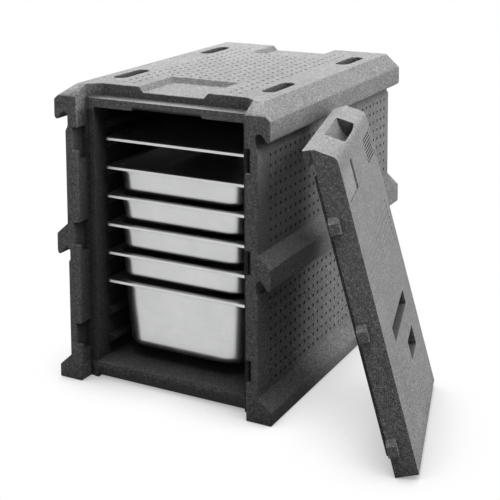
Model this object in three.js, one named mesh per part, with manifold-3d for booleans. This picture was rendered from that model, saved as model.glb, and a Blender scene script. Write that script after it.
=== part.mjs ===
// Front-loading insulated food carrier, moulded in bead foam, loaded with gastronorm pans,
// with its lift-off door leaning against the right-hand (+X) side.
// Millimetres, +Z up. The open front faces -Y. The origin is the centre of the underside.

import * as THREE from 'three';
import * as BufferGeometryUtils from 'three/addons/utils/BufferGeometryUtils.js';
import Module from 'manifold-3d';

const wasm = await Module();
wasm.setup();

// ---------------------------------------------------------------- shared dimensions

const DEPTH = 645;
const FRONT = -DEPTH / 2;      // Y of the front posts' faces

// pan levels, top to bottom: Z of the pan rims
const LEVEL_PITCH = 58.5;
const RIM_LEVELS = Array.from({ length: 8 }, (_, k) => 491.5 - k * LEVEL_PITCH);
const RIM_HANG = 5.5;          // turned-down edge of a pan rim

// cutters run this far past the faces they open, and added parts are sunk in this far
const OVER = 5;

const FOAM = { roughness: 0.85, metalness: 0 };
const BODY_FOAM = { color: '#4a4a4b', ...FOAM };
const DOOR_FOAM = { color: '#4c4c4d', ...FOAM };
const STEEL = { color: '#c9cbcd', roughness: 0.28, metalness: 1 };

// ---------------------------------------------------------------- helpers

const { degToRad } = THREE.MathUtils;

function toSolid(geometry) {
  geometry.deleteAttribute('normal');
  geometry.deleteAttribute('uv');
  const merged = BufferGeometryUtils.mergeVertices(geometry, 1e-4);
  return new wasm.Manifold(new wasm.Mesh({
    numProp: 3,
    vertProperties: new Float32Array(merged.attributes.position.array),
    triVerts: new Uint32Array(merged.index.array),
  }));
}

function toGeometry(solid) {
  const mesh = solid.getMesh();
  const geometry = new THREE.BufferGeometry();
  const positions = new Float32Array(mesh.vertProperties);
  geometry.setAttribute('position', new THREE.BufferAttribute(positions, 3));
  geometry.setIndex(new THREE.BufferAttribute(new Uint32Array(mesh.triVerts), 1));
  geometry.computeVertexNormals();
  return geometry;
}

const [UNIT_X, UNIT_Y, UNIT_Z] = [[1, 0, 0], [0, 1, 0], [0, 0, 1]]
  .map((components) => new THREE.Vector3(...components));
const AXES = {
  x: [UNIT_Y, UNIT_Z, UNIT_X],
  y: [UNIT_Z, UNIT_X, UNIT_Y],
  z: [UNIT_X, UNIT_Y, UNIT_Z],
};

// prism along an axis; points are [y, z] for x, [x, z] for y and [x, y] for z
function prism(axis, points, from, to) {
  const flat = points.map(([a, b]) => (
    axis === 'y' ? new THREE.Vector2(b, a) : new THREE.Vector2(a, b)
  ));
  const options = { depth: to - from, bevelEnabled: false, steps: 1 };
  const geometry = new THREE.ExtrudeGeometry(new THREE.Shape(flat), options);
  geometry.translate(0, 0, from);
  geometry.applyMatrix4(new THREE.Matrix4().makeBasis(...AXES[axis]));
  return toSolid(geometry);
}

function box([x0, x1], [y0, y1], [z0, z1]) {
  const geometry = new THREE.BoxGeometry(x1 - x0, y1 - y0, z1 - z0);
  geometry.translate((x0 + x1) / 2, (y0 + y1) / 2, (z0 + z1) / 2);
  return toSolid(geometry);
}

const onSide = (side, [inner, outer]) => (side < 0 ? [-outer, -inner] : [inner, outer]);

// closes a half outline with its mirror image in x = 0
function withMirror(half) {
  const offAxis = half.filter(([x]) => x !== 0);
  return [...half, ...offAxis.reverse().map(([x, other]) => [-x, other])];
}

const cutAll = (solid, cutters) => cutters.reduce((rest, cutter) => rest.subtract(cutter), solid);

// closed body between rings of equal length, with a flat cap at each end
function loft(rings) {
  const count = rings[0].length;
  const indices = [];
  for (let i = 0; i + 1 < rings.length; i += 1) {
    for (let k = 0; k < count; k += 1) {
      const a = i * count + k;
      const b = i * count + ((k + 1) % count);
      indices.push(a, b, b + count, a, b + count, a + count);
    }
  }
  const last = (rings.length - 1) * count;
  for (let k = 1; k + 1 < count; k += 1) {
    indices.push(0, k + 1, k);
    indices.push(last, last + k, last + k + 1);
  }
  const geometry = new THREE.BufferGeometry();
  geometry.setAttribute('position', new THREE.Float32BufferAttribute(rings.flat(2), 3));
  geometry.setIndex(indices);
  return geometry;
}

const group = new THREE.Group();

function addMesh(name, geometry, finish) {
  const mesh = new THREE.Mesh(geometry, new THREE.MeshStandardMaterial(finish));
  mesh.name = name;
  group.add(mesh);
  return mesh;
}

// ---------------------------------------------------------------- carrier body
// local frame: as the group's, but with the front face at y = 0

const HALF_WIDTH = 480 / 2;    // over the carrying ledges and the feet
const HEIGHT = 600;
const ABOVE_TOP = HEIGHT + OVER;
const POST_BEVEL_RUN = 35;     // bevel on top of the posts
const POST_BEVEL_DROP = 20;

const REBATE_X = 187;          // door rebate, half width
const REBATE_DEPTH = 31;       // front face to the sealing bead
const BEAD_X = 177;            // outer edge of the sealing bead
const BEAD_BACK = REBATE_DEPTH + 2;   // face beside the bead
const IN_REBATE = 10;          // cutters deeper than the rebate start here, in the open
const LEDGE_Z = 574.5;         // top of the lintel, where the door's lip hooks
const HEADER_FRONT = 58;

const CAVITY_X = 168;          // half width
const CAVITY_BACK = 590;
const FLOOR_Z = 34;
const CEILING_Z = 556;

const RAIL_X = 152;            // inner edges of the runner rails
const RAIL_FRONT = 66;
const RAIL_EDGE = 9;           // rail thickness at its edge
const RAIL_ROOT = 20;          // rail thickness at the wall
const RAIL_GAP = 0.4;          // between a rail and the pan rim above it
const TOP_RAIL_Z = 524;

// Z of each tab notch's bottom and top, and of the foot of the groove below it
const TAB_NOTCHES = [[472, 517.5, 451], [280, 326, 263], [75, 118, 61]];
const NOTCH_X = [REBATE_X - 1, 198];
const GROOVE_FRONT = 11;

const RECESS_DEPTH = 11;       // finger recesses in the top
const RECESS_INSET = 10;       // how much each side draws in over that depth

const SLOT_X = 170.5;          // round-ended slots in the top
const SLOT_RADIUS = 15;
const SLOT_DEPTH = 22;
const SLOT_SPANS = [[118, 226], [465, 573]];   // front and back, y

// right half of the front view, bottom to top: [x, z]
const BODY_OUTLINE = [
  [0, 0], [HALF_WIDTH, 0], [HALF_WIDTH, 25.6], [213, 50],                 // foot
  [213, 244], [209.5, 249], [209.5, 266], [212, 272], [218, 274],         // wall and undercut
  [225, 267], [230, 259], [235, 256.5], [239, 259.5], [HALF_WIDTH, 264],  // lower carrying ledge
  [HALF_WIDTH, 299], [214, 322], [214, 510], [208.5, 521],                // wall
  [208.5, 541], [212, 546], [220, 547], [226, 541], [230, 534],           // undercut
  [234.5, 531.5], [239, 535], [HALF_WIDTH, 540], [HALF_WIDTH, 572],       // upper ledge
  [208.5, HEIGHT], [0, HEIGHT],
];

// right half of the ledge behind the door's locking lip: [x, y]
const LEDGE_PLAN = [
  [REBATE_X, IN_REBATE], [REBATE_X, 36], [182, 43], [174, 50], [166, 56], [156, HEADER_FRONT],
];

function postBevel() {
  const slope = POST_BEVEL_DROP / POST_BEVEL_RUN;
  return prism('x', [
    [-OVER, HEIGHT - POST_BEVEL_DROP - OVER * slope],
    [POST_BEVEL_RUN, HEIGHT], [POST_BEVEL_RUN, HEIGHT + 20], [-OVER, HEIGHT + 20],
  ], -300, 300);
}

// door rebate, deeper at both sides to leave a raised bead around the opening
function rebate() {
  return [
    box([-REBATE_X, REBATE_X], [-OVER, REBATE_DEPTH], [-OVER, ABOVE_TOP]),
    ...[-1, 1].map((side) => (
      box(onSide(side, [BEAD_X, REBATE_X]), [IN_REBATE, BEAD_BACK], [-OVER, LEDGE_Z]))),
    prism('z', withMirror(LEDGE_PLAN), LEDGE_Z, ABOVE_TOP),
  ];
}

// a plain mouth, a stretch with rails along both walls, and a shallow slot in the mouth's ceiling
function cavity() {
  const railTops = RIM_LEVELS.map((z) => z - RIM_HANG - RAIL_GAP).reverse().concat(TOP_RAIL_Z);
  const railedWall = [
    [CAVITY_X, FLOOR_Z],
    ...railTops.flatMap((z) => [
      [CAVITY_X, z - RAIL_ROOT], [RAIL_X, z - RAIL_EDGE], [RAIL_X, z], [CAVITY_X, z],
    ]),
    [CAVITY_X, CEILING_Z],
  ];
  return [
    box([-CAVITY_X, CAVITY_X], [IN_REBATE, RAIL_FRONT], [FLOOR_Z, CEILING_Z]),
    prism('y', withMirror(railedWall), RAIL_FRONT - 0.01, CAVITY_BACK),
    box([-78, 78], [IN_REBATE, 46], [CEILING_Z - 10, CEILING_Z + 6.5]),
  ];
}

// chamfer under the front of the floor
function floorChamfer() {
  return prism('x', [
    [20, -OVER], [43.5, -OVER], [41, 0], [REBATE_DEPTH, 19.6], [20, 19.6],
  ], -167, 167);
}

// notches that pass the door's tabs, and the grooves they drop into
function tabNotches() {
  return TAB_NOTCHES.flatMap(([bottom, top, grooveBottom]) => [-1, 1].flatMap((side) => {
    const across = onSide(side, NOTCH_X);
    return [
      box(across, [-OVER, BEAD_BACK], [bottom, top]),
      box(across, [GROOVE_FRONT, BEAD_BACK], [grooveBottom, bottom + 1]),
    ];
  }));
}

// tapered recess; halfX and y0..y1 are its plan at the top face
function fingerRecess(halfX, y0, y1) {
  const ring = (inset, z) => {
    const x = halfX - inset;
    const [front, back] = [y0 + inset, y1 - inset];
    return [[x, back, z], [-x, back, z], [-x, front, z], [x, front, z]];
  };
  return toSolid(loft([
    ring(RECESS_INSET, HEIGHT - RECESS_DEPTH),
    ring(-RECESS_INSET / RECESS_DEPTH, HEIGHT + 1),
  ]));
}

function topSlot(centreX, [y0, y1]) {
  const segments = 6;
  const points = [];
  for (const [start, centreY] of [[Math.PI, y0 + SLOT_RADIUS], [0, y1 - SLOT_RADIUS]]) {
    for (let k = 0; k <= segments; k += 1) {
      const angle = start + (Math.PI * k) / segments;
      points.push([
        centreX + SLOT_RADIUS * Math.cos(angle),
        centreY + SLOT_RADIUS * Math.sin(angle),
      ]);
    }
  }
  return prism('z', points, HEIGHT - SLOT_DEPTH, ABOVE_TOP);
}

function carrierBody() {
  return cutAll(prism('y', withMirror(BODY_OUTLINE), 0, DEPTH), [
    postBevel(),
    ...rebate(),
    ...cavity(),
    floorChamfer(),
    ...tabNotches(),
    fingerRecess(78, 20, 181),            // open at the header
    fingerRecess(80, 525, DEPTH + 40),    // open at the back
    ...[-SLOT_X, SLOT_X].flatMap((x) => SLOT_SPANS.map((span) => topSlot(x, span))),
  ]).translate([0, FRONT, 0]);
}

addMesh('carrier_body', toGeometry(carrierBody()), BODY_FOAM);

// ---------------------------------------------------------------- pans
// gastronorm 1/1

const RIM_HALF_X = 162.5;
const RIM_HALF_Y = 265;
const RIM_RADIUS = 10;
const PAN_CENTRE_Y = FRONT + 55 + RIM_HALF_Y;
const FLANGE = 14;
const SHEET = 1.2;

// edge: bend between wall and base; taper: how far the wall draws in; radius: plan corners
const TRAY = { depth: 9, edge: 3.5, taper: 1.5, radius: 38 };
const PAN = { depth: 55, edge: 13, taper: 4, radius: 38 };
const DEEP_PAN = { depth: 143, edge: 20, taper: 8, radius: 50 };

// rounded rectangle, set in from the rim's edge on every side
function panRing(inset, radius, z) {
  const segments = 4;
  const cornerX = RIM_HALF_X - inset - radius;
  const cornerY = RIM_HALF_Y - inset - radius;
  const ring = [];
  [[1, 1], [-1, 1], [-1, -1], [1, -1]].forEach(([sideX, sideY], quarter) => {
    for (let k = 0; k <= segments; k += 1) {
      const angle = degToRad(90 * quarter + (90 * k) / segments);
      ring.push([
        sideX * cornerX + radius * Math.cos(angle),
        PAN_CENTRE_Y + sideY * cornerY + radius * Math.sin(angle),
        z,
      ]);
    }
  });
  return ring;
}

// sheet-metal pan with a flat rim whose edge is turned down
function pan(rimTop, { depth, edge, taper, radius }) {
  // bend into the base, on the outside (wall = 0) or the inside (wall = SHEET)
  const bend = (wall, angles) => angles.map((degrees) => {
    const bendRadius = edge - wall;
    const drawIn = bendRadius * (1 - Math.cos(degToRad(degrees)));
    const rise = bendRadius * (1 - Math.sin(degToRad(degrees)));
    return [FLANGE + taper + wall + drawIn, radius - wall - drawIn, -depth + wall + rise];
  });
  // up the outside, around the rim and down the inside: [inset, radius, z from the rim top]
  const stations = [
    ...bend(0, [90, 60, 30, 0]),
    [FLANGE, radius, -3.5],
    [FLANGE - 2, radius - 1, -SHEET],
    [SHEET, RIM_RADIUS - SHEET, -SHEET],
    [SHEET, RIM_RADIUS - SHEET, -RIM_HANG],
    [0, RIM_RADIUS, -RIM_HANG],
    [0, RIM_RADIUS, -1],
    [1, RIM_RADIUS - 1, 0],
    [FLANGE - 1.4, radius - 1.4, 0],
    [FLANGE + SHEET, radius - SHEET, -3],
    ...bend(SHEET, [0, 45, 90]),
  ];
  return loft(stations.map(([inset, corner, z]) => panRing(inset, corner, rimTop + z)));
}

// one per level from the top; the deep pan hangs past the two levels left over
const LOAD = [
  ['tray_shallow', TRAY], ['pan_a', PAN], ['pan_b', PAN], ['pan_c', PAN], ['pan_d', PAN],
  ['pan_deep', DEEP_PAN],
];
LOAD.forEach(([name, size], level) => addMesh(name, pan(RIM_LEVELS[level], size), STEEL));

// ---------------------------------------------------------------- door
// local frame: x across the width, y from the outer face inwards, z up

const DOOR_HALF_X = 184;
const SLAB_T = 41.3;
const DOOR_TOP_Z = 575.5;
const ABOVE_DOOR = 620;        // top of the cutters open at the top edge
const LIP_BACK = SLAB_T + 16.7;
const LIP_HALF_X = 178;
const LIP_CHAMFER = 5;
const LIP_BOTTOM_Z = 551;
const PLUG_BACK = SLAB_T + 9.7;
const PLUG_HALF_X = 163;
const PLUG_Z = [28, 528];
const PLUG_CHAMFER = 3;
const TAB_Z = [444, 256, 54.5];
const TAB_FRONT = 23;
const TAB_X = DOOR_HALF_X + 11;   // outer ends
const TAB_HALF_Z = 14;
const GRIP_HALF_X = 71;        // finger grip in the top edge
const RIB = { count: 8, firstZ: 478, pitch: 6.1, halfZ: 1.3, depth: 2.6 };
const FLUTE = { count: 8, firstZ: 306, pitch: 11, halfZ: 3.5, depth: 1.1, halfX: 150 };
const HANDHOLD_DEPTH = 34;

const DOOR_YAW = 105.1;        // degrees, turned from its place in the front opening
const DOOR_LEAN = 14.7;        // degrees back from upright, towards the carrier
// where the front inner bottom corner stands
const DOOR_FOOT = { x: 507, y: FRONT - 64, z: 0.3 };

// side view: [y, z]
const SLAB_OUTLINE = [
  [0, 0], [SLAB_T, 0], [SLAB_T, DOOR_TOP_Z], [35, DOOR_TOP_Z],
  [12, 561], [5, 556], [1.2, 550.5], [0, 544],
];
const GRIP_TROUGH = [
  [8, ABOVE_DOOR], [8, 541], [12, 534], [20, 532], [27, 538], [32, 550],
  [35, 563], [37, 580], [37, ABOVE_DOOR],
];
// right half of the dip in the trough's front lip: [x, z]
const GRIP_DIP = [[40, 550.5], [62, 553], [GRIP_HALF_X, 558], [GRIP_HALF_X, ABOVE_DOOR]];

function lockingLip() {
  return prism('z', withMirror([
    [LIP_HALF_X, SLAB_T - OVER],
    [LIP_HALF_X, LIP_BACK - LIP_CHAMFER],
    [LIP_HALF_X - LIP_CHAMFER, LIP_BACK],
  ]), LIP_BOTTOM_Z, DOOR_TOP_Z);
}

// fills the mouth of the cavity
function plug() {
  const [bottom, top] = PLUG_Z;
  return prism('x', [
    [SLAB_T - OVER, bottom], [PLUG_BACK - PLUG_CHAMFER, bottom],
    [PLUG_BACK, bottom + PLUG_CHAMFER], [PLUG_BACK, top - PLUG_CHAMFER],
    [PLUG_BACK - PLUG_CHAMFER, top], [SLAB_T - OVER, top],
  ], -PLUG_HALF_X, PLUG_HALF_X);
}

function lockingTab(side, z) {
  const root = side * (DOOR_HALF_X - OVER);
  return prism('y', [
    [root, z + TAB_HALF_Z], [side * DOOR_HALF_X, z + TAB_HALF_Z], [side * TAB_X, z + 5],
    [side * TAB_X, z - TAB_HALF_Z], [root, z - TAB_HALF_Z],
  ], TAB_FRONT, SLAB_T);
}

// rectangular cut into the outer face
const faceCut = (xSpan, depth, zSpan) => box(xSpan, [-OVER, depth], zSpan);

const repeat = ({ count, firstZ, pitch }, make) => (
  Array.from({ length: count }, (_, k) => make(firstZ + k * pitch)));

function flute(z) {
  return prism('x', [
    [-OVER, z - FLUTE.halfZ], [0, z - FLUTE.halfZ], [FLUTE.depth, z],
    [0, z + FLUTE.halfZ], [-OVER, z + FLUTE.halfZ],
  ], -FLUTE.halfX, FLUTE.halfX);
}

function door() {
  const parts = [
    lockingLip(),
    plug(),
    ...TAB_Z.flatMap((z) => [-1, 1].map((side) => lockingTab(side, z))),
  ];
  const slab = prism('x', SLAB_OUTLINE, -DOOR_HALF_X, DOOR_HALF_X);
  return cutAll(parts.reduce((whole, part) => whole.add(part), slab), [
    prism('x', GRIP_TROUGH, -GRIP_HALF_X, GRIP_HALF_X),
    prism('y', withMirror(GRIP_DIP), -OVER, 12),
    // plain label field and its groove at the -x top corner
    faceCut([-171, -78], 1.6, [472, 526]),
    faceCut([-76, -71], 5, [472, 526]),
    // grooved field and an upright groove at the +x top corner
    ...repeat(RIB, (z) => faceCut([78, 156], RIB.depth, [z - RIB.halfZ, z + RIB.halfZ])),
    faceCut([166.5, 170], 4, [469, 525]),
    // fluted band across the middle
    ...repeat(FLUTE, flute),
    // two recessed grips
    faceCut([-94, 92], HANDHOLD_DEPTH, [196, 223]),
    faceCut([14, 92], HANDHOLD_DEPTH, [116, 152]),
  ]);
}

function doorPose() {
  const lean = new THREE.Matrix4().makeRotationX(-degToRad(DOOR_LEAN));
  const pose = new THREE.Matrix4().makeRotationZ(degToRad(DOOR_YAW)).multiply(lean);
  const corner = new THREE.Vector3(-DOOR_HALF_X, SLAB_T, 0).applyMatrix4(pose);
  return pose.setPosition(new THREE.Vector3().subVectors(DOOR_FOOT, corner));
}

addMesh('door', toGeometry(door()), DOOR_FOAM).applyMatrix4(doorPose());

export default group;
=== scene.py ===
import math

import bmesh
import bpy
import numpy as np
from mathutils import Matrix, Vector


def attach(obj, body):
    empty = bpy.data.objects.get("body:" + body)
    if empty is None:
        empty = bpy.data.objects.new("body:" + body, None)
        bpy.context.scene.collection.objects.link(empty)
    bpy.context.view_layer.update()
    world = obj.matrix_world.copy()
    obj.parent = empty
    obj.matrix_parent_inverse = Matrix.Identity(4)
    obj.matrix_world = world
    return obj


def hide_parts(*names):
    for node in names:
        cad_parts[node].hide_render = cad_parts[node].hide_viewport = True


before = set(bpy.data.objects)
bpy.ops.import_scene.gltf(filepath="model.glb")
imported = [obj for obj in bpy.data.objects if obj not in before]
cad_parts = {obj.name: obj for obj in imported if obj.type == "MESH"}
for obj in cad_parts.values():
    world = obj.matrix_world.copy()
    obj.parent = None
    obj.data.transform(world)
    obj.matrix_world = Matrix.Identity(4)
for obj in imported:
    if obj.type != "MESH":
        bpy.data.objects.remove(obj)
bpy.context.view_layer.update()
scene = bpy.context.scene

FRONT = -0.3225          # the carrier's front face
MM = 0.001

# ---------------------------------------------------------------- node helpers


def new_material(name):
    m = bpy.data.materials.new(name)
    m.use_nodes = True
    nt = m.node_tree
    nt.nodes.clear()
    out = nt.nodes.new("ShaderNodeOutputMaterial")
    bsdf = nt.nodes.new("ShaderNodeBsdfPrincipled")
    nt.links.new(bsdf.outputs[0], out.inputs[0])
    return m, nt, bsdf


def node(nt, kind, **values):
    n = nt.nodes.new(kind)
    for k, v in values.items():
        if k in n.inputs:
            n.inputs[k].default_value = v
        else:
            setattr(n, k, v)
    return n


def math_node(nt, op, a, b=None, c=None, clamp=False):
    n = nt.nodes.new("ShaderNodeMath")
    n.operation = op
    n.use_clamp = clamp
    for i, v in enumerate((a, b, c)):
        if v is None:
            continue
        if isinstance(v, (int, float)):
            n.inputs[i].default_value = v
        else:
            nt.links.new(v, n.inputs[i])
    return n.outputs[0]


def ramp(nt, source, stops):
    r = nt.nodes.new("ShaderNodeValToRGB")
    el = r.color_ramp.elements
    while len(el) > 1:
        el.remove(el[-1])
    el[0].position, el[0].color = stops[0][0], (*[stops[0][1]] * 3, 1) if isinstance(stops[0][1], float) else (*stops[0][1], 1)
    for p, c in stops[1:]:
        e = el.new(p)
        e.color = (c, c, c, 1) if isinstance(c, float) else (*c, 1)
    nt.links.new(source, r.inputs[0])
    return r.outputs[0]


def mix(nt, kind, factor, a, b):
    n = nt.nodes.new("ShaderNodeMix")
    n.data_type = "RGBA"
    n.blend_type = kind
    if isinstance(factor, (int, float)):
        n.inputs[0].default_value = factor
    else:
        nt.links.new(factor, n.inputs[0])
    for i, v in ((6, a), (7, b)):
        if isinstance(v, tuple):
            n.inputs[i].default_value = (*v, 1)
        else:
            nt.links.new(v, n.inputs[i])
    return n.outputs[2]


# ---------------------------------------------------------------- materials


def foam_material(name, base, bead=0.0031, inside=False, round_edge=0.0, field=None, wear=0.2):
    """Moulded bead foam: domed beads with dark creases, speckle, faint flow clouds and scuffs, plus painted shade in
    tight spots and, when asked, inside the opening.
    """
    m, nt, bsdf = new_material(name)
    tc = nt.nodes.new("ShaderNodeTexCoord").outputs["Object"]
    warp = node(nt, "ShaderNodeTexNoise", Scale=120.0, Detail=2.0)
    nt.links.new(tc, warp.inputs["Vector"])
    bent = nt.nodes.new("ShaderNodeVectorMath")
    bent.operation = "MULTIPLY_ADD"
    nt.links.new(warp.outputs["Color"], bent.inputs[0])
    bent.inputs[1].default_value = (0.0016, 0.0016, 0.0016)
    nt.links.new(tc, bent.inputs[2])
    cells = node(nt, "ShaderNodeTexVoronoi", Scale=1 / bead)
    nt.links.new(bent.outputs[0], cells.inputs["Vector"])
    edges = node(nt, "ShaderNodeTexVoronoi", Scale=1 / bead)
    edges.feature = "DISTANCE_TO_EDGE"
    nt.links.new(bent.outputs[0], edges.inputs["Vector"])
    grit = node(nt, "ShaderNodeTexNoise", Scale=900.0, Detail=3.0, Roughness=0.7)
    nt.links.new(tc, grit.inputs["Vector"])
    cloud = node(nt, "ShaderNodeTexNoise", Scale=7.0, Detail=4.0, Roughness=0.6)
    nt.links.new(tc, cloud.inputs["Vector"])
    scuff = node(nt, "ShaderNodeTexNoise", Scale=38.0, Detail=6.0, Roughness=0.75, Distortion=0.8)
    nt.links.new(tc, scuff.inputs["Vector"])

    sep = nt.nodes.new("ShaderNodeSeparateColor")
    nt.links.new(cells.outputs["Color"], sep.inputs[0])
    tone = ramp(nt, sep.outputs[0], [(0.0, 0.70), (0.4, 0.92), (0.8, 1.12), (1.0, 1.38)])
    crease = ramp(nt, edges.outputs["Distance"], [(0.0, 0.55), (0.08, 0.76), (0.25, 1.0)])
    colour = mix(nt, "MULTIPLY", 1.0, base, tone)
    colour = mix(nt, "MULTIPLY", 1.0, colour, crease)
    colour = mix(nt, "MULTIPLY", 1.0, colour, ramp(nt, cloud.outputs[0], [(0.3, 0.9), (0.7, 1.1)]))
    speck = node(nt, "ShaderNodeTexNoise", Scale=430.0, Detail=2.0, Roughness=0.6)
    nt.links.new(tc, speck.inputs["Vector"])
    grain = ramp(nt, speck.outputs[0], [(0.34, 0.68), (0.5, 0.98), (0.66, 1.36)])
    colour = mix(nt, "MULTIPLY", 1.0, colour, grain)
    # painted shade: the colour darkens by ambient occlusion in beads, notches and dents, the more the tighter they are
    painted_occlusion_shade = node(nt, "ShaderNodeAmbientOcclusion", Distance=0.05)
    painted_occlusion_shade.samples = 6
    colour = mix(nt, "MULTIPLY", 1.0, colour, ramp(nt, painted_occlusion_shade.outputs["AO"], [(0.0, 0.12), (0.45, 0.34), (0.8, 0.9), (1.0, 1.0)]))
    worn = ramp(nt, scuff.outputs[0], [(0.66, 0.0), (0.82, wear)])
    colour = mix(nt, "MIX", worn, colour, tuple(min(1.0, v * 1.5) for v in base))
    if inside:
        # painted shade: inside the opening the colour is made darker than the outer skin, standing in for the shade
        # there, and its specular is lowered
        pos = nt.nodes.new("ShaderNodeSeparateXYZ")
        nt.links.new(tc, pos.inputs[0])
        wide = ramp(nt, math_node(nt, "ABSOLUTE", pos.outputs[0]), [(0.1985, 1.0), (0.2005, 0.0)])
        deep = ramp(nt, math_node(nt, "SUBTRACT", pos.outputs[1], FRONT), [(0.002, 0.0), (0.008, 0.6), (0.06, 1.0), (0.595, 1.0), (0.605, 0.0)])
        high = ramp(nt, pos.outputs[2], [(0.549, 1.0), (0.5555, 0.0)])
        low = ramp(nt, pos.outputs[2], [(0.0328, 0.0), (0.0338, 1.0)])
        painted_cavity_shade = math_node(nt, "MULTIPLY", math_node(nt, "MULTIPLY", wide, deep), math_node(nt, "MULTIPLY", high, low))
        colour = mix(nt, "MULTIPLY", painted_cavity_shade, colour, (0.22, 0.22, 0.22))
    if field:
        # the label field's skin is smooth and pale; (direction, from, to) along the door's width and height
        inside_field = None
        for direction, low, high in field:
            dot = nt.nodes.new("ShaderNodeVectorMath")
            dot.operation = "DOT_PRODUCT"
            nt.links.new(tc, dot.inputs[0])
            dot.inputs[1].default_value = direction
            band = ramp(nt, math_node(nt, "SUBTRACT", dot.outputs["Value"], low - 0.5), [
                (0.4995, 0.0), (0.5, 1.0), (0.5 + high - low, 1.0), (0.5005 + high - low, 0.0)])
            inside_field = band if inside_field is None else math_node(nt, "MULTIPLY", inside_field, band)
        colour = mix(nt, "MULTIPLY", inside_field, colour, (1.3, 1.3, 1.3))
    nt.links.new(colour, bsdf.inputs["Base Color"])

    rough = math_node(nt, "MULTIPLY_ADD", grit.outputs[0], 0.22, 0.68)
    nt.links.new(rough, bsdf.inputs["Roughness"])
    shine = mix(nt, "MULTIPLY", 1.0, grain, tone)
    shine = math_node(nt, "MULTIPLY", shine, 0.2)
    # the painted cavity shade also lowers the specular inside the opening
    if inside:
        shine = math_node(nt, "MULTIPLY", shine, math_node(nt, "MULTIPLY_ADD", painted_cavity_shade, -0.8, 1.0))
    nt.links.new(shine, bsdf.inputs["Specular IOR Level"])
    bsdf.inputs["Sheen Weight"].default_value = 0.03
    bsdf.inputs["Sheen Roughness"].default_value = 0.6

    dome = math_node(nt, "MINIMUM", edges.outputs["Distance"], 0.3)
    lift = math_node(nt, "MULTIPLY_ADD", sep.outputs[1], 0.10, dome)
    lift = math_node(nt, "MULTIPLY_ADD", grit.outputs[0], 0.08, lift)
    bump = node(nt, "ShaderNodeBump", Strength=0.75, Distance=0.0022)
    nt.links.new(lift, bump.inputs["Height"])
    if round_edge:
        soften = node(nt, "ShaderNodeBevel", Radius=round_edge)
        soften.samples = 6
        nt.links.new(soften.outputs[0], bump.inputs["Normal"])
    nt.links.new(bump.outputs[0], bsdf.inputs["Normal"])
    return m


def steel_material(name):
    """Satin stainless sheet: fine drawn lines and faint smudges."""
    m, nt, bsdf = new_material(name)
    tc = nt.nodes.new("ShaderNodeTexCoord").outputs["Object"]
    stretch = nt.nodes.new("ShaderNodeVectorMath")
    stretch.operation = "MULTIPLY"
    nt.links.new(tc, stretch.inputs[0])
    stretch.inputs[1].default_value = (6.0, 6.0, 420.0)
    lines = node(nt, "ShaderNodeTexNoise", Scale=3.0, Detail=4.0, Roughness=0.6)
    nt.links.new(stretch.outputs[0], lines.inputs["Vector"])
    smudge = node(nt, "ShaderNodeTexNoise", Scale=14.0, Detail=5.0, Roughness=0.62, Distortion=0.5)
    nt.links.new(tc, smudge.inputs["Vector"])
    fleck = node(nt, "ShaderNodeTexVoronoi", Scale=60.0)
    fleck.feature = "DISTANCE_TO_EDGE"
    nt.links.new(stretch.outputs[0], fleck.inputs["Vector"])
    tint = ramp(nt, smudge.outputs[0], [(0.3, (0.66, 0.665, 0.67)), (0.7, (0.76, 0.762, 0.765))])
    tint = mix(nt, "MULTIPLY", 0.35, tint, ramp(nt, lines.outputs[0], [(0.25, 0.78), (0.75, 1.0)]))
    nt.links.new(tint, bsdf.inputs["Base Color"])
    bsdf.inputs["Metallic"].default_value = 1.0
    rough = math_node(nt, "MULTIPLY_ADD", smudge.outputs[0], 0.16, 0.20)
    rough = math_node(nt, "MULTIPLY_ADD", lines.outputs[0], 0.08, rough)
    nt.links.new(rough, bsdf.inputs["Roughness"])
    bump = node(nt, "ShaderNodeBump", Strength=0.12, Distance=0.0004)
    nt.links.new(lines.outputs[0], bump.inputs["Height"])
    nt.links.new(bump.outputs[0], bsdf.inputs["Normal"])
    return m


# the carrier's foam has painted shade inside its opening
FOAM = foam_material("foam", (0.055, 0.055, 0.056), inside=True, round_edge=0.0015)
YAW, LEAN = math.radians(105.1), math.radians(14.7)       # the door's pose, as it leans
ACROSS = Vector((math.cos(YAW), math.sin(YAW), 0.0))
OUTWARD = Vector((math.sin(YAW) * math.cos(LEAN), -math.cos(YAW) * math.cos(LEAN), math.sin(LEAN)))
UPWARD = OUTWARD.cross(ACROSS)
FOOT = Vector((0.5070, FRONT - 0.064, 0.0003))            # inner bottom corner, at x = -184 mm of the door
FOAM_DOOR = foam_material("foam_door", (0.056, 0.056, 0.057), round_edge=0.0018, wear=0.06, field=[
    (ACROSS, FOOT.dot(ACROSS) + 0.184 - 0.171, FOOT.dot(ACROSS) + 0.184 - 0.078),
    (UPWARD, FOOT.dot(UPWARD) + 0.472, FOOT.dot(UPWARD) + 0.526)])
STEEL = steel_material("steel")

# ---------------------------------------------------------------- mesh helpers


def mesh_object(name, verts, faces, material, smooth=False):
    me = bpy.data.meshes.new(name)
    me.from_pydata([tuple(v) for v in verts], [], faces)
    me.update()
    ob = bpy.data.objects.new(name, me)
    scene.collection.objects.link(ob)
    me.materials.append(material)
    if smooth:
        for p in me.polygons:
            p.use_smooth = True
    return ob


def cut(mesh, cutters):
    """mesh with each closed (verts, faces) in cutters taken out of it."""
    temp = bpy.data.objects.new("cutting", mesh)
    scene.collection.objects.link(temp)
    tools = []
    for verts, faces in cutters:
        me = bpy.data.meshes.new("tool")
        me.from_pydata(verts, [], faces)
        tool = bpy.data.objects.new("tool", me)
        scene.collection.objects.link(tool)
        tools.append(tool)
        m = temp.modifiers.new("cut", "BOOLEAN")
        m.operation, m.solver, m.object = "DIFFERENCE", "EXACT", tool
    dg = bpy.context.evaluated_depsgraph_get()
    result = bpy.data.meshes.new_from_object(temp.evaluated_get(dg))
    for o in tools + [temp]:
        bpy.data.objects.remove(o)
    return result


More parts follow.
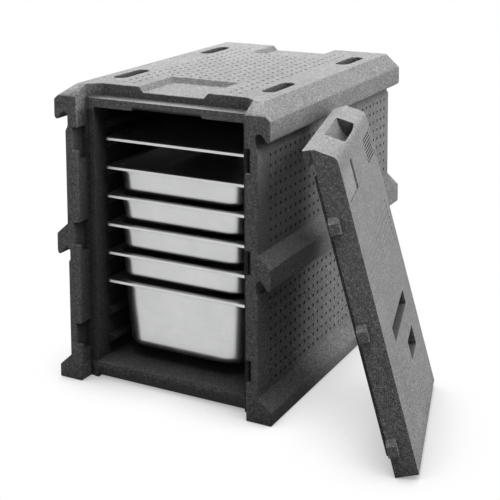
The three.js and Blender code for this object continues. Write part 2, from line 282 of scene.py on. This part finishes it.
def block(outline, low, high, axis):
    """A prism as (verts, faces): outline is counter-clockwise (x, y) for axis z, or (y, z) for axis x."""
    n = len(outline)
    order = (lambda a, b, c: (a, b, c)) if axis == "z" else (lambda a, b, c: (c, a, b))
    verts = [order(a, b, low) for a, b in outline] + [order(a, b, high) for a, b in outline]
    faces = [tuple(reversed(range(n))), tuple(range(n, 2 * n))]
    faces += [(i, (i + 1) % n, (i + 1) % n + n, i + n) for i in range(n)]
    return verts, faces


def edged(cad_name, name, material, width, angle=28.0, segments=2, least=3.4, beds=()):
    """A new piece on the CAD node's shape, with its facets merged and its edges rounded as a moulding's are."""
    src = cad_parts[cad_name]
    bm = bmesh.new()
    base = src.data.copy()
    if beds:
        wm = bmesh.new()
        wm.from_mesh(base)
        bmesh.ops.remove_doubles(wm, verts=wm.verts, dist=2e-6)
        wm.to_mesh(base)
        wm.free()
        base = cut(base, beds)
    bm.from_mesh(base)
    bmesh.ops.remove_doubles(bm, verts=bm.verts, dist=2e-6)
    bmesh.ops.dissolve_limit(bm, angle_limit=math.radians(0.6), verts=bm.verts, edges=bm.edges)
    bm.normal_update()
    chosen = []
    short = {v for e in bm.edges if e.calc_length() < 2.05 * width * MM and e.calc_face_angle(0.0) > math.radians(3) for v in e.verts}
    for e in bm.edges:
        if e.verts[0] in short or e.verts[1] in short:
            continue
        if len(e.link_faces) != 2:
            continue
        if e.calc_face_angle(0.0) < math.radians(angle):
            continue
        length = e.calc_length()
        narrow = min(f.calc_area() / max(length, 1e-6) for f in e.link_faces)
        if narrow < least * MM or length < least * MM:
            continue
        chosen.append(e)
    picked = set(chosen)
    for e in bm.edges:
        if len(e.link_faces) == 2 and e not in picked and e.calc_face_angle(0.0) > math.radians(7):
            e.smooth = False
    bmesh.ops.bevel(bm, geom=chosen, offset=width * MM, segments=segments, profile=0.5, affect="EDGES", clamp_overlap=False, loop_slide=True)
    me = bpy.data.meshes.new(name)
    bm.to_mesh(me)
    bm.free()
    for p in me.polygons:
        p.use_smooth = True
    me.materials.append(material)
    ob = bpy.data.objects.new(name, me)
    scene.collection.objects.link(ob)
    wn = ob.modifiers.new("weighted", "WEIGHTED_NORMAL")
    wn.weight = 100
    wn.keep_sharp = True
    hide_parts(cad_name)
    return ob


def dent_skin(name, origin, u, v, normal, cols, rows, pitch_u, pitch_v, dent_r, depth, keep, material, lift, splay):
    """A thin dimpled surface: a grid of cells, each with an eight-sided dent, standing `lift` proud of origin's plane."""
    o, u, v, n = (np.array(a, float) for a in (origin, u, v, normal))
    flip = np.dot(np.cross(u, v), n) < 0
    verts, faces, index = [], [], {}

    def vid(p):
        key = tuple(np.round(p * 1e6).astype(int))
        if key not in index:
            index[key] = len(verts)
            verts.append(p)
        return index[key]

    def face(ids):
        faces.append(tuple(reversed(ids)) if flip else tuple(ids))

    live = {(i, j) for i in range(cols) for j in range(rows) if keep(i, j) != 0}
    for i, j in sorted(live):
        a, b = i * pitch_u, j * pitch_v
        cu, cv = a + pitch_u / 2, b + pitch_v / 2
        rim = []
        for du, dv in ((1, 0.5), (1, 1), (0.5, 1), (0, 1), (0, 0.5), (0, 0), (0.5, 0), (1, 0)):
            rim.append(vid(o + u * (a + du * pitch_u) + v * (b + dv * pitch_v) + n * lift))
        if keep(i, j) == 2:
            rings = []
            for r, d in ((dent_r, 0.0), (dent_r * 0.72, depth * 0.75), (dent_r * 0.35, depth)):
                ring = []
                for k in range(8):
                    t = math.radians(45 * k)
                    ring.append(vid(o + u * (cu + r * math.cos(t)) + v * (cv + r * math.sin(t)) + n * (lift - d)))
                rings.append(ring)
            for k in range(8):
                q = (k + 1) % 8
                face((rim[k], rim[q], rings[0][q], rings[0][k]))
                for s in (0, 1):
                    face((rings[s][k], rings[s][q], rings[s + 1][q], rings[s + 1][k]))
            face(tuple(rings[2]))
        else:
            face(tuple(rim))
    # skirt down to the wall all round, a little splayed
    for i, j in sorted(live):
        a, b = i * pitch_u, j * pitch_v
        for (di, dj), line in {
            (1, 0): ((1, 0), (1, 0.5), (1, 1)), (0, 1): ((1, 1), (0.5, 1), (0, 1)),
            (-1, 0): ((0, 1), (0, 0.5), (0, 0)), (0, -1): ((0, 0), (0.5, 0), (1, 0)),
        }.items():
            if (i + di, j + dj) in live:
                continue
            pts = [o + u * (a + x * pitch_u) + v * (b + y * pitch_v) for x, y in line]
            out = u * di + v * dj
            for p, q in zip(pts, pts[1:]):
                face((vid(p + n * lift), vid(p + out * splay - n * 0.0012), vid(q + out * splay - n * 0.0012), vid(q + n * lift)))
    return mesh_object(name, verts, faces, material)


# ---------------------------------------------------------------- carrier
# the dimpled panels of the two walls and the top: a bed is cut in the shell, and a dimpled surface closes it flush

BED_DEPTH = 3.2
WALLS = [(0.214, 325.9, 20.3), (0.213, 53.9, 20.2)]      # x of the wall, lowest edge and row pitch
WALL_Y, WALL_COLS, WALL_ROWS, COL_PITCH = 40.5, 28, 9, 21.0
TOP_X, TOP_Y, TOP_COLS, TOP_ROWS, TOP_PITCH = -143.0, 78.0, 13, 23, 22.0

beds = []
for x, z0, pitch in WALLS:
    y0, y1 = FRONT + WALL_Y * MM, FRONT + (WALL_Y + WALL_COLS * COL_PITCH) * MM
    z1 = (z0 + WALL_ROWS * pitch) * MM
    for s in (-1, 1):
        a, b = sorted((s * (x - BED_DEPTH * MM), s * (x + 0.004)))
        beds.append(block([(y0, z0 * MM), (y1, z0 * MM), (y1, z1), (y0, z1)], a, b, "x"))
beds.append(block([(MM * a, FRONT + MM * b) for a, b in (
    (-143, 78), (-99, 78), (-99, 188), (99, 188), (99, 78), (143, 78), (143, 584), (99, 584), (99, 518), (-99, 518), (-99, 584), (-143, 584),
)], 0.600 - BED_DEPTH * MM, 0.604, "z"))

carrier = edged("carrier_body", "carrier_shell", FOAM, 1.8, beds=beds)
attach(carrier, "carrier")

for x, z0, pitch in WALLS:
    for s in (-1, 1):
        skin = dent_skin(
            f"wall_panel_{'upper' if z0 > 300 else 'lower'}_{'right' if s > 0 else 'left'}",
            (s * x, FRONT + WALL_Y * MM, z0 * MM), (0, 1, 0), (0, 0, 1), (s, 0, 0), WALL_COLS, WALL_ROWS,
            COL_PITCH * MM, pitch * MM, 3.9 * MM, 2.9 * MM, lambda i, j: 2, FOAM, 0.0, 0.0)
        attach(skin, "carrier")


def top_keep(i, j):
    x, y = TOP_X + TOP_PITCH * (i + 0.5), TOP_Y + TOP_PITCH * (j + 0.5)
    return 0 if abs(x) < 99 and (y < 188 or y > 518) else 2


top = dent_skin("top_panel", (TOP_X * MM, FRONT + TOP_Y * MM, 0.6), (1, 0, 0), (0, 1, 0), (0, 0, 1), TOP_COLS, TOP_ROWS,
                TOP_PITCH * MM, TOP_PITCH * MM, 3.9 * MM, 2.2 * MM, top_keep, FOAM, 0.0, 0.0)
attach(top, "carrier")

# ---------------------------------------------------------------- pans

RIM = {"tray_shallow": (491.5, 9, 3.5, 1.5, 38), "pan_a": (433.0, 55, 13, 4, 38), "pan_b": (374.5, 55, 13, 4, 38),
       "pan_c": (316.0, 55, 13, 4, 38), "pan_d": (257.5, 55, 13, 4, 38), "pan_deep": (199.0, 143, 20, 8, 50)}


def ring(hx, hy, r, z, cy, seg=9):
    pts = []
    for x, y, a0 in ((hx - r, hy - r, 0), (-hx + r, hy - r, 90), (-hx + r, -hy + r, 180), (hx - r, -hy + r, 270)):
        for k in range(seg + 1):
            a = math.radians(a0 + 90 * k / seg)
            pts.append((MM * (x + r * math.cos(a)), MM * (cy + y + r * math.sin(a)), MM * z))
    return pts


def pan_piece(name):
    rim, depth, e, taper, pr = RIM[name]
    cy = -322.5 + 55 + 265
    hx, hy, rr, t, hang = 162.5, 265.0, 10.0, 1.2, 5.5
    bx, by = hx - 14, hy - 14
    e = min(e, pr - 4)
    rings = []

    def put(a, b, r, z):
        rings.append(ring(a, b, r, rim + z, cy))

    def deg(a):
        return math.cos(math.radians(a)), math.sin(math.radians(a))

    step = 14
    inset = taper * (step + 2.2 - 3.5) / max(depth - e - 3.5, 1) + 0.9
    # outside, from the middle of the bottom up to the rim
    put(bx - taper - e - 30, by - taper - e - 30, max(pr - e - 10, 2), -depth + 0.25)
    for a in (90, 75, 60, 45, 30, 15, 0):
        c, s = deg(a)
        put(bx - taper - e + e * c, by - taper - e + e * c, pr - e + e * c, -depth + e - e * s)
    if depth > 20:
        put(bx - inset, by - inset, pr - 0.9, -step - 2.2)
        put(bx - 0.4, by - 0.4, pr - 0.4, -step)
    put(bx, by, pr, -5.0)
    put(bx + 0.7, by + 0.7, pr - 0.3, -2.6)
    put(bx + 2.4, by + 2.4, pr - 1, -t)
    put(hx - t - 2.2, hy - t - 2.2, rr - t - 2.2, -t)
    put(hx - t, hy - t, rr - t, -2.8)
    put(hx - t, hy - t, rr - t, -hang)
    put(hx - 0.1, hy - 0.1, rr - 0.1, -hang)
    put(hx, hy, rr, -hang + 0.6)
    put(hx - 0.15, hy - 0.15, rr - 0.15, -3.4)
    put(hx - 1.0, hy - 1.0, rr - 1.0, -2.7)
    put(hx - 0.9, hy - 0.9, rr - 0.9, -1.5)
    put(hx - 1.4, hy - 1.4, rr - 1.4, -0.5)
    put(hx - 2.6, hy - 2.6, rr - 2.6, 0)
    # inside
    put(bx + 2.2, by + 2.2, pr - 1.2, 0)
    put(bx + 0.2, by + 0.2, pr - 1.4, -0.7)
    put(bx - t, by - t, pr - t, -3.0)
    if depth > 20:
        put(bx - 0.4 - t, by - 0.4 - t, pr - 0.4 - t, -step)
        put(bx - inset - t, by - inset - t, pr - 0.9 - t, -step - 2.2)
    f = e - t
    for a in (0, 18, 36, 54, 72, 90):
        c, s = deg(a)
        put(bx - taper - t - f + f * c, by - taper - t - f + f * c, pr - t - f + f * c, -depth + t + f - f * s)
    put(bx - taper - e - 30, by - taper - e - 30, max(pr - e - 10, 2), -depth + t + 0.25)
    n = len(rings[0])
    verts = [p for r in rings for p in r]
    faces = []
    for i in range(len(rings) - 1):
        for k in range(n):
            q = (k + 1) % n
            faces.append((i * n + k, i * n + q, (i + 1) * n + q, (i + 1) * n + k))
    faces.append(tuple(reversed(range(n))))
    faces.append(tuple(range((len(rings) - 1) * n, len(rings) * n)))
    ob = mesh_object(name + "_sheet", verts, faces, STEEL, smooth=True)
    wn = ob.modifiers.new("weighted", "WEIGHTED_NORMAL")
    wn.weight = 60
    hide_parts(name)
    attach(ob, name)
    return ob


for pan_name in RIM:
    pan_piece(pan_name)

# ---------------------------------------------------------------- door

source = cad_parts["door"].data.copy()
bm = bmesh.new()
bm.from_mesh(source)
bmesh.ops.remove_doubles(bm, verts=bm.verts, dist=2e-6)
bm.normal_update()
for e in bm.edges:
    e.smooth = len(e.link_faces) == 2 and e.calc_face_angle(0.0) < math.radians(25)
for f in bm.faces:
    f.smooth = True
door_mesh = bpy.data.meshes.new("door_panel")
bm.to_mesh(door_mesh)
bm.free()
door_mesh.materials.append(FOAM_DOOR)
door = bpy.data.objects.new("door_panel", door_mesh)
scene.collection.objects.link(door)
wn = door.modifiers.new("weighted", "WEIGHTED_NORMAL")
wn.weight = 100
wn.keep_sharp = True
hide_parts("door")
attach(door, "door")

# ---------------------------------------------------------------- floor, light and camera

floor_mat, nt, bsdf = new_material("floor")
tc = nt.nodes.new("ShaderNodeTexCoord").outputs["Object"]
soft = node(nt, "ShaderNodeTexNoise", Scale=3.0, Detail=3.0)
nt.links.new(tc, soft.inputs["Vector"])
nt.links.new(ramp(nt, soft.outputs[0], [(0.3, 0.12), (0.7, 0.14)]), bsdf.inputs["Base Color"])
bsdf.inputs["Roughness"].default_value = 0.8
bsdf.inputs["Specular IOR Level"].default_value = 0.1
# paper glowing white for camera rays, with painted shadow (darker by ambient occlusion) close to whatever stands on it;
# glossy rays see an even glow
ao = node(nt, "ShaderNodeAmbientOcclusion", Distance=0.20)
ao.samples = 12
shade = node(nt, "ShaderNodeEmission", Strength=1.0)
nt.links.new(ramp(nt, ao.outputs["AO"], [(0.0, 0.24), (0.4, 0.50), (0.7, 0.88), (0.84, 1.0)]), shade.inputs[0])
mirror_tone = node(nt, "ShaderNodeEmission", Strength=0.86)
seen = nt.nodes.new("ShaderNodeLightPath")
by_glossy = nt.nodes.new("ShaderNodeMixShader")
nt.links.new(seen.outputs["Is Glossy Ray"], by_glossy.inputs[0])
nt.links.new(bsdf.outputs[0], by_glossy.inputs[1])
nt.links.new(mirror_tone.outputs[0], by_glossy.inputs[2])
by_camera = nt.nodes.new("ShaderNodeMixShader")
nt.links.new(seen.outputs["Is Camera Ray"], by_camera.inputs[0])
nt.links.new(by_glossy.outputs[0], by_camera.inputs[1])
nt.links.new(shade.outputs[0], by_camera.inputs[2])
nt.links.new(by_camera.outputs[0], [n for n in nt.nodes if n.type == "OUTPUT_MATERIAL"][0].inputs[0])
floor = mesh_object("floor", [(-30, -30, 0), (30, -30, 0), (30, 30, 0), (-30, 30, 0)], [(0, 1, 2, 3)], floor_mat)
floor.location.z = -0.0004

world = bpy.data.worlds.new("studio")
scene.world = world
world.use_nodes = True
nt = world.node_tree
nt.nodes.clear()
out = nt.nodes.new("ShaderNodeOutputWorld")
path = nt.nodes.new("ShaderNodeLightPath")
dim = node(nt, "ShaderNodeBackground", Strength=0.26)
shine = node(nt, "ShaderNodeBackground", Strength=0.86)
bright = node(nt, "ShaderNodeBackground", Strength=1.05)
for b in (dim, shine, bright):
    b.inputs[0].default_value = (1, 1, 1, 1)
sw1 = nt.nodes.new("ShaderNodeMixShader")
nt.links.new(path.outputs["Is Glossy Ray"], sw1.inputs[0])
nt.links.new(dim.outputs[0], sw1.inputs[1])
nt.links.new(shine.outputs[0], sw1.inputs[2])
sw2 = nt.nodes.new("ShaderNodeMixShader")
nt.links.new(path.outputs["Is Camera Ray"], sw2.inputs[0])
nt.links.new(sw1.outputs[0], sw2.inputs[1])
nt.links.new(bright.outputs[0], sw2.inputs[2])
nt.links.new(sw2.outputs[0], out.inputs[0])


def area(name, where, target, size, power, size_y=None, glossy=False):
    light = bpy.data.lights.new(name, "AREA")
    light.shape = "RECTANGLE"
    light.size, light.size_y = size, size_y or size
    light.energy = power
    ob = bpy.data.objects.new(name, light)
    scene.collection.objects.link(ob)
    ob.location = where
    ob.rotation_mode = "QUATERNION"
    ob.rotation_quaternion = (Vector(target) - Vector(where)).to_track_quat("-Z", "Y")
    ob.visible_glossy = glossy
    return ob


area("top_soft", (-1.3, 0.9, 2.2), (0.0, 0.0, 0.5), 1.7, 540)
area("right_soft", (2.1, 0.35, 1.4), (0.35, 0.0, 0.45), 2.3, 265)
area("front_soft", (0.9, -2.6, 1.5), (0.0, 0.0, 0.3), 1.3, 8)
area("high_soft", (0.5, -0.8, 2.6), (0.2, -0.1, 0.2), 1.5, 125)

# the camera stands at the front right, above the top, with its frame shifted down
az, el, roll = math.radians(27.310088974521538), math.radians(6.796655469131891), math.radians(-0.19928522602068288)
back = Vector((math.sin(az) * math.cos(el), -math.cos(az) * math.cos(el), math.sin(el)))
right = Vector((math.cos(az), math.sin(az), 0))
up = back.cross(right)
right, up = right * math.cos(roll) + up * math.sin(roll), up * math.cos(roll) - right * math.sin(roll)
cam_data = bpy.data.cameras.new("camera")
cam = bpy.data.objects.new("camera", cam_data)
scene.collection.objects.link(cam)
turn = Matrix((right, up, back)).transposed().to_4x4()
cam.matrix_world = Matrix.Translation((1.1531, -2.1028, 1.0179)) @ turn
cam_data.sensor_width = 36.0
cam_data.sensor_fit = "HORIZONTAL"
cam_data.lens = 1145.3534507217223 / 500 * 36

# the lens shift belongs to this one standpoint: anywhere else the camera is centred on what it looks at
for side, amount in (("shift_x", (250 - 266.8039) / 500), ("shift_y", (6.6043 - 250) / 500)):
    setattr(cam_data, side, amount)
    curve = cam_data.driver_add(side)
    for m in list(curve.modifiers):
        curve.modifiers.remove(m)
    curve.driver.type = "SUM"
    place = curve.driver.variables.new()
    place.type = "TRANSFORMS"
    place.targets[0].id = cam
    place.targets[0].transform_type = "LOC_X"
    place.targets[0].transform_space = "WORLD_SPACE"
    for x, value in ((-100.0, 0.0), (1.135, amount), (1.171, 0.0), (100.0, 0.0)):
        key = curve.keyframe_points.insert(x, value)
        key.interpolation = "CONSTANT"
cam_data.clip_end = 200
scene.camera = cam

scene.view_settings.view_transform = "Standard"

bpy.context.view_layer.update()
